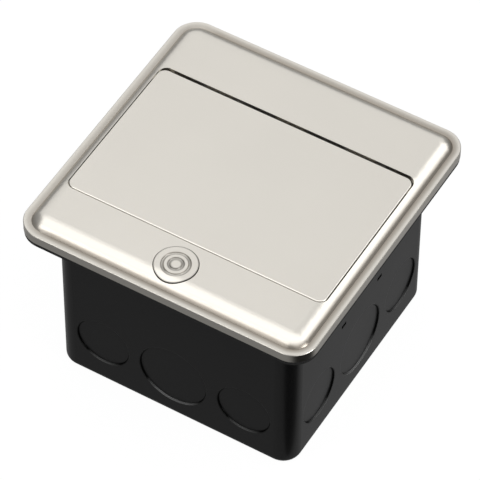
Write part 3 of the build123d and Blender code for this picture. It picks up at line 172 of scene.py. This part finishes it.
class Shade:
    """One socket in a material's nodes. Arithmetic on it adds Math nodes."""

    def __init__(self, tree, socket=None):
        self.tree = tree
        self.socket = socket

    def make(self, kind, settings=None, inputs=None, output=0):
        """A node of a kind: its settings first, then values or links for its sockets."""
        node = self.tree.nodes.new(kind)
        for key, value in (settings or {}).items():
            if key == "stops":
                ramp = node.color_ramp.elements
                while len(ramp) < len(value):
                    ramp.new(0.5)
                for element, (position, shade) in zip(ramp, value):
                    element.position = position
                    element.color = (shade, shade, shade, 1)
            else:
                setattr(node, key, value)
        for key, value in (inputs or {}).items():
            if isinstance(value, Shade):
                self.tree.links.new(value.socket, node.inputs[key])
            else:
                node.inputs[key].default_value = value
        return Shade(self.tree, node.outputs[output])

    def math(self, operation, first, second):
        """A Math node on two numbers, or on one where its operation takes one."""
        return self.make("ShaderNodeMath", {"operation": operation}, {0: first, 1: second})

    def __add__(self, other):
        return self.math("ADD", self, other)

    __radd__ = __add__

    def __sub__(self, other):
        return self.math("SUBTRACT", self, other)

    def __rsub__(self, other):
        return self.math("SUBTRACT", other, self)

    def __mul__(self, other):
        return self.math("MULTIPLY", self, other)

    __rmul__ = __mul__

    def __abs__(self):
        return self.math("ABSOLUTE", self, 0.0)

    def largest(self, other):
        return self.math("MAXIMUM", self, other)

    def smallest(self, other):
        return self.math("MINIMUM", self, other)

    def coordinates(self):
        """Object coordinates in metres."""
        return self.make("ShaderNodeTexCoord", output="Object")

    def noise(self, scale, detail=2.0, rough=0.5):
        """A cloudy pattern, with about so many patches to a metre."""
        inputs = {
            "Vector": self.coordinates(),
            "Scale": scale,
            "Detail": detail,
            "Roughness": rough,
        }
        return self.make("ShaderNodeTexNoise", None, inputs)

    def between(self, first, second, share):
        """Two patterns joined, with a share of the second."""
        return first * (1 - share) + second * share

    def vary(self, value, *patterns):
        """A value that patterns move up and down, each by its own width."""
        value -= sum(width for _, width in patterns) / 2
        for pattern, width in patterns:
            value = pattern * width + value
        return value

    def ramp(self, value, stops):
        """A grey from stops of place and lightness."""
        return self.make("ShaderNodeValToRGB", {"stops": stops}, {"Fac": value})

    def mix(self, factor, first, second, blend="MIX"):
        """Two colours mixed by a factor."""
        return self.make(
            "ShaderNodeMix",
            {"data_type": "RGBA", "blend_type": blend},
            {"Factor": factor, 6: first, 7: second},
            output=2,
        )

    def tint(self, factor, first, second):
        """A colour between two, by a factor."""
        return self.mix(factor, (*first, 1), (*second, 1))

    def multiply(self, first, second):
        """Two colours multiplied."""
        return self.mix(1.0, first, second, "MULTIPLY")

    def split(self, vector):
        """The three numbers of a vector."""
        first = self.make("ShaderNodeSeparateXYZ", None, {0: vector})
        return [Shade(self.tree, output) for output in first.socket.node.outputs]

    def span(self, first, second):
        """The length of a flat vector."""
        return self.math("SQRT", first * first + second * second, 0.0)

    def inward(self, half, corner):
        """Distance inward from the edge of a square with round corners, seen from above."""
        parts = self.split(self.coordinates())[:2]
        sides = [abs(part) - (half - corner) for part in parts]
        outer = [side.largest(0.0) for side in sides]
        inner = sides[0].largest(sides[1]).smallest(0.0)
        return corner - self.span(*outer) - inner

    def bump(self, height, strength, distance, normal=None):
        """A normal tipped by a height, over another bump if there is one."""
        inputs = {"Height": height, "Strength": strength, "Distance": distance}
        if normal:
            inputs["Normal"] = normal
        return self.make("ShaderNodeBump", None, inputs)


def new_material(name):
    """An empty node material, and the wrapper that adds to it."""
    material = bpy.data.materials.new(name)
    material.use_nodes = True
    material.node_tree.nodes.clear()
    return material, Shade(material.node_tree)


def finish_material(shade, **sockets):
    """The surface shader of a material, from socket names written with underscores."""
    inputs = {key.replace("_", " "): value for key, value in sockets.items()}
    surface = shade.make("ShaderNodeBsdfPrincipled", None, inputs)
    output = shade.tree.nodes.new("ShaderNodeOutputMaterial")
    shade.tree.links.new(surface.socket, output.inputs["Surface"])


def darker(colour, share):
    """A colour dimmed to a share of itself."""
    return tuple(share * part for part in colour)


def satin_metal(name, light, dark, roughness, grain, bump=0.05, shadow=None):
    """Plated metal with a fine blasted grain and a faint clouding.

    A shadow is a function that gives how light the metal is at each place."""
    material, shade = new_material(name)
    cloud = shade.noise(METAL_CLOUDS, detail=3)
    fine = shade.noise(grain, detail=3, rough=0.6)
    colour = shade.tint(shade.between(cloud, fine, GRAIN_SHARE), dark, light)
    if shadow:
        colour = shade.multiply(colour, shadow(shade))
    finish_material(
        shade,
        Base_Color=colour,
        Metallic=1.0,
        Roughness=shade.vary(roughness, (cloud, 0.05), (fine, 0.08)),
        Normal=shade.bump(fine, bump, GRAIN_DEPTH),
    )
    return material


def powder_coat(name, light, dark, roughness):
    """Baked paint with a fine orange peel, painted shade on the knockouts' rims and a painted
    glint low on them.
    """
    material, shade = new_material(name)
    peel = shade.noise(COAT_PEEL)
    cloud = shade.noise(COAT_CLOUDS, detail=3)
    across, deep, height = shade.split(shade.coordinates())
    # on any wall the smaller of the two is the place along it
    along = abs(across).smallest(abs(deep))
    up = height - KNOCKOUT_HEIGHT
    rims = [abs(shade.span(along - place, up) - radius) for place, radius in KNOCKOUTS]
    rim = rims[0].smallest(rims[1]) * (1 / RIM_REACH)
    rim_cut_and_shade = shade.ramp(rim, RIM_CUT_AND_SHADE)
    # a painted glint beside the lower half of each knockout's rim
    painted_glint = shade.ramp(rim, RIM_NEAR) * shade.ramp(height * (1 / KNOCKOUT_HEIGHT), RIM_LOWER)
    paint = shade.tint(shade.between(cloud, peel, PEEL_SHARE), dark, light)
    # painted shade darkens the paint along the knockouts' rims
    coat = shade.multiply(paint, rim_cut_and_shade)
    finish_material(
        shade,
        Base_Color=shade.mix(painted_glint, coat, (*RIM_GLINT, 1)),
        Roughness=shade.vary(roughness, (cloud, 0.06), (peel, 0.02)),
        Specular_IOR_Level=COAT_GLOSS,
        Normal=shade.bump(rim_cut_and_shade, 0.7, RIM_DEPTH, shade.bump(peel, 0.02, PEEL_DEPTH)),
    )
    return material


def moulded(name, light, dark, roughness, grain, bump=0.12):
    """Moulded rubber or plastic with a spark-eroded texture."""
    material, shade = new_material(name)
    pits = shade.noise(grain)
    cloud = shade.noise(MOULDED_CLOUDS)
    finish_material(
        shade,
        Base_Color=shade.tint(shade.between(cloud, pits, GRAIN_SHARE), dark, light),
        Roughness=shade.vary(roughness, (pits, 0.12)),
        Normal=shade.bump(pits, bump, GRAIN_DEPTH),
    )
    return material


def seal_rubber(context, name):
    """Rubber in the seal's colour."""
    colour = tuple(context.scene.floorbox_finish.seal)
    return moulded(name, colour, darker(colour, SEAL_DARK), roughness=0.7, grain=1400)


def painted_crease_shade(shade):
    """How light the plate is: painted shade in the crease behind its raised rim, fainter at its
    left edge.
    """
    inward = shade.inward(PLATE_HALF, PLATE_CORNER) * (1 / CREASE_SHADE_REACH)
    along = shade.split(shade.coordinates())[0] * (0.5 / PLATE_HALF) + 0.5
    crease = shade.tint(shade.ramp(inward, CREASE_SHADE_STOPS), CREASE_SHADE_TONE, WHITE)
    return shade.mix(shade.ramp(along, CREASE_SHADE_LEFT), (*WHITE, 1), crease)


def painted_ring_shade(shade):
    """How light the button is: painted shade in its two grooves and at its edge."""
    along, across, _ = shade.split(shade.coordinates())
    radius = shade.span(along, across - BUTTON_Y) * (1 / RING_SHADE_REACH)
    return shade.ramp(radius, RING_SHADE_STOPS)


def dress(material, *nodes):
    """Gives CAD nodes a material in every slot."""
    for name in nodes:
        node = frame["nodes"][name]
        if not node.material_slots:
            node.data.materials.append(material)
        for slot in node.material_slots:
            slot.material = material


def new_object(name, bm):
    """A new object from a bmesh, which is freed."""
    mesh = bpy.data.meshes.new(name)
    bm.to_mesh(mesh)
    bm.free()
    piece = bpy.data.objects.new(name, mesh)
    bpy.context.scene.collection.objects.link(piece)
    return piece


def box_of(name):
    """The corners of a CAD node's box, from its vertices."""
    spots = [vertex.co for vertex in frame["nodes"][name].data.vertices]
    low = Vector([min(spot[axis] for spot in spots) for axis in range(3)])
    high = Vector([max(spot[axis] for spot in spots) for axis in range(3)])
    return low, high


def on_circle(centre, radius, angle, first, second):
    """A point on a circle, at an angle from the first direction towards the second."""
    return centre + radius * (math.cos(angle) * first + math.sin(angle) * second)


def wire_along(name, points, radius, sides):
    """A round wire along a line of points, with flat ends, as a new object."""
    bm = bmesh.new()
    frames = []
    across = (points[1] - points[0]).orthogonal().normalized()
    for index, point in enumerate(points):
        ahead = points[min(index + 1, len(points) - 1)]
        behind = points[max(index - 1, 0)]
        along = (ahead - behind).normalized()
        across = (across - along * across.dot(along)).normalized()
        turn = Matrix((across, along.cross(across), along)).transposed().to_4x4()
        frames.append(Matrix.Translation(point) @ turn)
    bmesh.ops.create_circle(bm, cap_ends=True, radius=radius, segments=sides, matrix=frames[0])
    end = bm.faces[:]
    for before, after in zip(frames, frames[1:]):
        grown = bmesh.ops.extrude_face_region(bm, geom=end)["geom"]
        end = [item for item in grown if isinstance(item, bmesh.types.BMFace)]
        rim = [item for item in grown if isinstance(item, bmesh.types.BMVert)]
        bmesh.ops.transform(bm, matrix=after @ before.inverted(), verts=rim)
    bmesh.ops.recalc_face_normals(bm, faces=bm.faces[:])
    wire = new_object(name, bm)
    for face in wire.data.polygons:
        face.use_smooth = len(face.vertices) == 4
    return wire


class FloorBoxFinish(bpy.types.PropertyGroup):
    """Colours of the finishes."""

    nickel: bpy.props.FloatVectorProperty(
        name="Nickel",
        description="Face plate, lid and button",
        subtype="COLOR",
        size=3,
        min=0,
        max=1,
        default=(0.805, 0.772, 0.708),
    )
    coat: bpy.props.FloatVectorProperty(
        name="Powder coat",
        description="Box",
        subtype="COLOR",
        size=3,
        min=0,
        max=1,
        default=(0.005, 0.005, 0.0052),
    )
    seal: bpy.props.FloatVectorProperty(
        name="Seal rubber",
        description="Gasket, bumpers and cable bushing",
        subtype="COLOR",
        size=3,
        min=0,
        max=1,
        default=(0.010, 0.010, 0.010),
    )
    zinc: bpy.props.FloatVectorProperty(
        name="Zinc plate",
        description="Folded steel inside the box",
        subtype="COLOR",
        size=3,
        min=0,
        max=1,
        default=(0.42, 0.43, 0.445),
    )


class FloorBoxStudio(bpy.types.PropertyGroup):
    """Camera and lamps."""

    azimuth: bpy.props.FloatProperty(
        name="Azimuth",
        description="The camera's turn round the box, from the front towards the right",
        default=math.radians(30.57),
        subtype="ANGLE",
    )
    elevation: bpy.props.FloatProperty(
        name="Elevation",
        description="The camera's height above the horizon",
        default=math.radians(50.41),
        subtype="ANGLE",
    )
    roll: bpy.props.FloatProperty(
        name="Roll",
        description="The camera's turn about its own line of sight",
        default=math.radians(-0.36),
        subtype="ANGLE",
    )
    distance: bpy.props.FloatProperty(
        name="Distance",
        description="From the camera to its target",
        default=1.3392,
        unit="LENGTH",
    )
    lens: bpy.props.FloatProperty(
        name="Lens",
        description="Focal length in millimetres",
        default=282.98,
        min=1,
    )
    target: bpy.props.FloatVectorProperty(
        name="Target",
        description="The point in the middle of the picture",
        subtype="XYZ",
        size=3,
        default=(0.012487, -0.023621, 0.0809),
    )
    softbox: bpy.props.FloatProperty(
        name="Softbox",
        description="Power of the overhead softbox in watts",
        default=14.8,
        min=0,
    )
    side: bpy.props.FloatProperty(
        name="Side light",
        description="Power of the lamp at the right in watts",
        default=9.0,
        min=0,
    )
    fill: bpy.props.FloatProperty(
        name="Fill light",
        description="Power of the lamp at the back left in watts",
        default=5.6,
        min=0,
    )
    front: bpy.props.FloatProperty(
        name="Front light",
        description="Power of the lamp over the front in watts",
        default=3.0,
        min=0,
    )
    back: bpy.props.FloatProperty(
        name="Back light",
        description="Power of the lamp at the back right in watts",
        default=3.9,
        min=0,
    )
    world: bpy.props.FloatProperty(
        name="Room light",
        description="Strength of the even light from the room",
        default=0.28,
        min=0,
    )
    mirror_floor: bpy.props.FloatProperty(
        name="Floor in reflections",
        description="Brightness of the floor where the object mirrors it",
        default=1.0,
        min=0,
    )


class FloorBoxSeal(bpy.types.PropertyGroup):
    """Sizes of the seal squeezed under the face plate."""

    inset: bpy.props.FloatProperty(
        name="Inset", description="From the edge of the plate", default=0.0002, unit="LENGTH"
    )
    width: bpy.props.FloatProperty(
        name="Width", description="Across the ring", default=0.009, unit="LENGTH"
    )
    thickness: bpy.props.FloatProperty(
        name="Thickness", description="Height of the ring", default=0.0017, unit="LENGTH"
    )
    segments: bpy.props.IntProperty(
        name="Segments", description="Faces round each corner", default=12, min=2
    )


class FloorBoxSpring(bpy.types.PropertyGroup):
    """Sizes of the wound springs."""

    wire: bpy.props.FloatProperty(
        name="Wire", description="Wire diameter", default=0.0007, unit="LENGTH"
    )
    turns: bpy.props.IntProperty(
        name="Turns", description="Number of coils between the eyes", default=36, min=4
    )
    loop: bpy.props.FloatProperty(
        name="Eye", description="Outer radius of the eyes", default=0.0016, unit="LENGTH"
    )
    neck: bpy.props.FloatProperty(
        name="Neck", description="From an eye to the first coil", default=0.0012, unit="LENGTH"
    )
    sides: bpy.props.IntProperty(
        name="Sides", description="Facets round the wire", default=10, min=4
    )
    button_wire: bpy.props.FloatProperty(
        name="Button wire", description="Wire under the button", default=0.0005, unit="LENGTH"
    )
    button_turns: bpy.props.IntProperty(
        name="Button turns", description="Coils under the button", default=5, min=2
    )
    latch_wire: bpy.props.FloatProperty(
        name="Latch wire", description="Wire behind the bolt", default=0.00035, unit="LENGTH"
    )
    latch_turns: bpy.props.IntProperty(
        name="Latch turns", description="Coils behind the bolt", default=4, min=2
    )


class FLOORBOX_OT_camera(bpy.types.Operator):
    """Place the camera at the photograph's angle."""

    bl_idname = "floorbox.camera"
    bl_label = "Camera"

    def execute(self, context):
        studio = context.scene.floorbox_studio
        target = Vector(studio.target)
        back = Vector(
            (
                math.sin(studio.azimuth) * math.cos(studio.elevation),
                -math.cos(studio.azimuth) * math.cos(studio.elevation),
                math.sin(studio.elevation),
            )
        )
        data = bpy.data.cameras.new("camera")
        data.lens = studio.lens
        data.sensor_width = SENSOR_WIDTH_MM
        data.clip_end = CAMERA_REACH
        camera = bpy.data.objects.new("camera", data)
        camera.location = target + back * studio.distance
        turn = back.to_track_quat("Z", "Y").to_matrix() @ Matrix.Rotation(-studio.roll, 3, "Z")
        camera.rotation_euler = turn.to_euler()
        context.scene.collection.objects.link(camera)
        context.scene.camera = camera
        return {"FINISHED"}


def hang_lamp(name, power, size, place, aim):
    """An oblong softbox that looks at a point."""
    data = bpy.data.lights.new(name, "AREA")
    data.shape = "RECTANGLE"
    data.size, data.size_y = size
    data.energy = power
    light = bpy.data.objects.new(name, data)
    light.location = place
    light.rotation_euler = (Vector(place) - Vector(aim)).to_track_quat("Z", "Y").to_euler()
    bpy.context.scene.collection.objects.link(light)


def room_light(strength):
    """A world that lights evenly and that the camera sees as white."""
    world = bpy.data.worlds.new("room")
    world.use_nodes = True
    world.node_tree.nodes.clear()
    shade = Shade(world.node_tree)
    seen = shade.make("ShaderNodeLightPath", output="Is Camera Ray")
    inputs = {"Color": (*WHITE, 1), "Strength": seen * (1 - strength) + strength}
    room = shade.make("ShaderNodeBackground", None, inputs)
    output = world.node_tree.nodes.new("ShaderNodeOutputWorld")
    world.node_tree.links.new(room.socket, output.inputs["Surface"])
    return world


def floor_paper(mirrored):
    """Pale paper, glowing with painted reflection tones, at a strength of their own, where the
    object mirrors it.
    """
    material, shade = new_material("floor_paper")
    camera_ray = shade.make("ShaderNodeLightPath", output="Is Camera Ray")
    glossy_ray = shade.make("ShaderNodeLightPath", output="Is Glossy Ray")
    grey = (PAPER_GREY, PAPER_GREY, PAPER_GREY, 1)
    paper = shade.make("ShaderNodeBsdfDiffuse", None, {"Color": grey})
    white = {"Color": (*WHITE, 1), "Strength": PAPER_GLOW}
    glow = shade.make("ShaderNodeEmission", None, white)
    along, across, _ = shade.split(shade.coordinates())
    turn = shade.math("ARCTAN2", across + BOX_HALF, along - BOX_HALF)
    tone = shade.ramp(turn * (0.5 / math.pi) + 0.5, FLOOR_TONES)
    # painted reflection: these tones glow only in the object's reflections
    dim = shade.make("ShaderNodeEmission", None, {"Color": tone, "Strength": mirrored})
    share = camera_ray * PAPER_GLOW_SHARE
    seen = shade.make("ShaderNodeMixShader", None, {0: share, 1: paper, 2: glow})
    surface = shade.make("ShaderNodeMixShader", None, {0: glossy_ray, 1: seen, 2: dim})
    output = material.node_tree.nodes.new("ShaderNodeOutputMaterial")
    material.node_tree.links.new(surface.socket, output.inputs["Surface"])
    return material


class FLOORBOX_OT_studio(bpy.types.Operator):
    """Lay the floor and hang the lamps."""

    bl_idname = "floorbox.studio"
    bl_label = "Studio"

    def execute(self, context):
        studio = context.scene.floorbox_studio
        context.scene.view_settings.view_transform = "Standard"
        context.scene.world = room_light(studio.world)
        for name, power, size, place, aim in LAMPS:
            hang_lamp(name, getattr(studio, power), size, place, aim)
        bm = bmesh.new()
        bmesh.ops.create_grid(bm, x_segments=1, y_segments=1, size=FLOOR_HALF)
        floor = new_object("floor", bm)
        floor.data.materials.append(floor_paper(studio.mirror_floor))
        return {"FINISHED"}


class FLOORBOX_OT_plate_finish(bpy.types.Operator):
    """Give the face plate, lid and button their satin nickel."""

    bl_idname = "floorbox.plate_finish"
    bl_label = "Plate finish"

    def execute(self, context):
        nickel = tuple(context.scene.floorbox_finish.nickel)
        metal = {
            "light": nickel,
            "dark": darker(nickel, NICKEL_DARK),
            "roughness": 0.30,
            "grain": 2600,
        }
        # painted shade in the face plate's crease
        dress(satin_metal("rim_nickel", **metal, shadow=painted_crease_shade), "face_plate")
        dress(satin_metal("satin_nickel", **metal), "lid")
        # painted shade in the button's grooves and at its edge
        ring_shaded = satin_metal("turned_nickel", **metal, bump=0.0, shadow=painted_ring_shade)
        dress(ring_shaded, "release_button")
        return {"FINISHED"}


class FLOORBOX_OT_box_finish(bpy.types.Operator):
    """Give the box its powder coat and the seals their rubber."""

    bl_idname = "floorbox.box_finish"
    bl_label = "Box finish"

    def execute(self, context):
        coat = tuple(context.scene.floorbox_finish.coat)
        paint = powder_coat("black_coat", coat, darker(coat, COAT_DARK), roughness=0.32)
        dress(paint, "floor_box")
        dress(seal_rubber(context, "seal_rubber"), "gasket", "lid_bumpers", "cable_bushing")
        return {"FINISHED"}


class FLOORBOX_OT_inside_finish(bpy.types.Operator):
    """Give the metal, plastic and brass inside their finishes."""

    bl_idname = "floorbox.inside_finish"
    bl_label = "Inside finish"

    def execute(self, context):
        zinc = tuple(context.scene.floorbox_finish.zinc)
        dress(
            satin_metal("zinc_plate", zinc, darker(zinc, ZINC_DARK), roughness=0.36, grain=700),
            "inner_frame",
            "module_housing",
            "back_cover",
            "mounting_strap",
            "latch_guide",
            "damper_body",
        )
        dress(
            satin_metal(
                "bright_zinc", (0.70, 0.69, 0.66), (0.55, 0.55, 0.53), roughness=0.28, grain=1600
            ),
            "plate_screws",
            "frame_screws",
            "lid_screws",
            "cover_screws",
            "centre_screw",
            "strap_screws",
            "gear_screws",
            "gear_spacers",
            "damper_screws",
            "guide_screws",
            "striker_rivets",
            "neutral_terminals",
        )
        dress(
            satin_metal(
                "ground_steel", (0.58, 0.58, 0.59), (0.45, 0.45, 0.46), roughness=0.22, grain=900
            ),
            "hinge_rod",
            "hinge_clips",
            "spring_pin",
            "spring_post",
            "button_clip",
            "latch_bolt",
        )
        dress(
            satin_metal(
                "spring_steel", (0.42, 0.42, 0.44), (0.32, 0.32, 0.34), roughness=0.26, grain=1200
            ),
            "button_spring",
            "latch_spring",
            "striker_spring",
            "lift_spring",
        )
        dress(
            moulded(
                "thermoset",
                (0.020, 0.020, 0.022),
                (0.014, 0.014, 0.015),
                roughness=0.42,
                grain=1900,
            ),
            "receptacle_face",
            "receptacle_body",
        )
        dress(
            moulded(
                "nylon",
                (0.82, 0.80, 0.74),
                (0.76, 0.74, 0.68),
                roughness=0.45,
                grain=1300,
                bump=0.06,
            ),
            "sector_gear",
            "damper_pinion",
        )
        dress(
            satin_metal(
                "brass", (0.80, 0.60, 0.28), (0.66, 0.47, 0.20), roughness=0.25, grain=1200
            ),
            "hot_contact",
            "neutral_contact",
            "ground_sleeves",
            "hot_terminals",
        )
        dress(
            satin_metal(
                "green_screw", (0.05, 0.34, 0.12), (0.03, 0.24, 0.08), roughness=0.34, grain=1500
            ),
            "ground_screw",
            "ground_terminal",
        )
        return {"FINISHED"}


class FLOORBOX_OT_seal(bpy.types.Operator):
    """Squeeze the gasket out to the edge of the face plate."""

    bl_idname = "floorbox.seal"
    bl_label = "Seal"

    def execute(self, context):
        seal = context.scene.floorbox_seal
        _, top = box_of("gasket")
        half = PLATE_HALF - seal.inset
        bm = bmesh.new()
        bmesh.ops.create_grid(bm, x_segments=1, y_segments=1, size=half)
        bmesh.ops.bevel(
            bm,
            geom=bm.verts[:],
            offset=PLATE_CORNER - seal.inset,
            offset_type="OFFSET",
            segments=seal.segments,
            profile=0.5,
            affect="VERTICES",
            material=-1,
        )
        inner = bm.faces[:]
        bmesh.ops.inset_region(
            bm, faces=inner, thickness=seal.width, use_boundary=True, use_even_offset=True
        )
        bmesh.ops.delete(bm, geom=inner, context="FACES")
        lower = bmesh.ops.extrude_face_region(bm, geom=bm.faces[:])["geom"]
        corners = [item for item in lower if isinstance(item, bmesh.types.BMVert)]
        bmesh.ops.translate(bm, verts=corners, vec=(0, 0, -seal.thickness))
        bmesh.ops.translate(bm, verts=bm.verts[:], vec=(0, 0, top.z))
        bmesh.ops.recalc_face_normals(bm, faces=bm.faces[:])
        ring = new_object("seal", bm)
        ring.data.materials.append(seal_rubber(context, "plate_seal"))
        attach(ring, "box")
        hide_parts("gasket")
        return {"FINISHED"}


class FLOORBOX_OT_lift_spring(bpy.types.Operator):
    """Wind the lift spring's wire in place of its ringed stand-in."""

    bl_idname = "floorbox.lift_spring"
    bl_label = "Lift spring"

    def execute(self, context):
        spring = context.scene.floorbox_spring
        low, high = box_of("lift_spring")
        across = (low.x + high.x) / 2
        loop = spring.loop
        post = Vector((across, low.y + loop, low.z + loop))
        pin = Vector((across, high.y - loop, high.z - loop))
        run = pin - post
        along = run.normalized()
        side = Vector((1, 0, 0))
        up = along.cross(side)
        mean = high.x - across - spring.wire / 2
        eye = loop - spring.wire / 2
        # the eye round the post, the coils, and the eye round the pin
        angles = [EYE_ARC * step / EYE_STEPS for step in range(EYE_STEPS + 1)]
        points = [on_circle(post, eye, angle, along, -up) for angle in reversed(angles)]
        first = eye + spring.neck
        last = run.length - eye - spring.neck
        around = LIFT_COIL_STEPS
        count = spring.turns * around
        for step in range(count + 1):
            # the first and the last coil widen from a neck
            share = min(1.0, step / around, (count - step) / around)
            radius = mean * (NECK_SHARE + (1 - NECK_SHARE) * share)
            place = post + along * (first + (last - first) * step / count)
            points.append(on_circle(place, radius, 2 * math.pi * step / around, up, side))
        points += [on_circle(pin, eye, angle, -along, up) for angle in angles]
        wire = wire_along("lift_spring_wire", points, spring.wire / 2, spring.sides)
        wire.data.materials.append(bpy.data.materials["spring_steel"])
        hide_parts("lift_spring")
        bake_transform(wire)
        return {"FINISHED"}


class FLOORBOX_OT_press_springs(bpy.types.Operator):
    """Wind the springs under the button and behind the bolt."""

    bl_idname = "floorbox.press_springs"
    bl_label = "Press springs"

    def execute(self, context):
        spring = context.scene.floorbox_spring
        joints = {row["name"]: row for row in frame["record"]["behaviour"]["joints"]}
        for node, joint, axis, wire, turns in (
            ("button_spring", "button_press", 2, spring.button_wire, spring.button_turns),
            ("latch_spring", "latch_slide", 1, spring.latch_wire, spring.latch_turns),
        ):
            low, high = box_of(node)
            middle = (low + high) / 2
            along = Vector([float(k == axis) for k in range(3)])
            side = Vector((1, 0, 0))
            up = along.cross(side)
            reach = high.x - middle.x - wire / 2
            start = middle + along * (low[axis] + wire / 2 - middle[axis])
            rise = high[axis] - low[axis] - wire
            around = PRESS_COIL_STEPS
            count = turns * around
            points = []
            for step in range(count + 1):
                place = start + along * (rise * step / count)
                points.append(on_circle(place, reach, 2 * math.pi * step / around, up, side))
            piece = wire_along(node + "_wire", points, wire / 2, spring.sides)
            piece.data.materials.append(bpy.data.materials["spring_steel"])
            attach(piece, "box")
            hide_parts(node)
            keep = 1 - joints[joint]["range_m"][1] / (high[axis] - low[axis])
            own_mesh(piece)
        return {"FINISHED"}


CLASSES = (
    FloorBoxFinish,
    FloorBoxStudio,
    FloorBoxSeal,
    FloorBoxSpring,
    FLOORBOX_OT_camera,
    FLOORBOX_OT_studio,
    FLOORBOX_OT_plate_finish,
    FLOORBOX_OT_box_finish,
    FLOORBOX_OT_inside_finish,
    FLOORBOX_OT_seal,
    FLOORBOX_OT_lift_spring,
    FLOORBOX_OT_press_springs,
)
SETTINGS = {
    "floorbox_finish": FloorBoxFinish,
    "floorbox_studio": FloorBoxStudio,
    "floorbox_seal": FloorBoxSeal,
    "floorbox_spring": FloorBoxSpring,
}
STEPS = (
    "camera",
    "studio",
    "plate_finish",
    "box_finish",
    "inside_finish",
    "seal",
    "lift_spring",
    "press_springs",
)


class FLOORBOX_PT_panel(bpy.types.Panel):
    """The floor box's steps and settings."""

    bl_idname = "FLOORBOX_PT_panel"
    bl_label = "Floor Box"
    bl_space_type = "VIEW_3D"
    bl_region_type = "UI"
    bl_category = "Floor Box"

    def draw(self, context):
        for group in SETTINGS:
            settings = getattr(context.scene, group)
            for key in settings.__annotations__:
                self.layout.prop(settings, key)
        for step in STEPS:
            self.layout.operator("floorbox." + step)


def register():
    for cls in (*CLASSES, FLOORBOX_PT_panel):
        bpy.utils.register_class(cls)
    for key, group in SETTINGS.items():
        setattr(bpy.types.Scene, key, bpy.props.PointerProperty(type=group))


def unregister():
    for key in SETTINGS:
        delattr(bpy.types.Scene, key)
    for cls in reversed((*CLASSES, FLOORBOX_PT_panel)):
        bpy.utils.unregister_class(cls)


def main():
    register()
    for step in STEPS:
        getattr(bpy.ops.floorbox, step)()


if __name__ == "__main__":
    main()
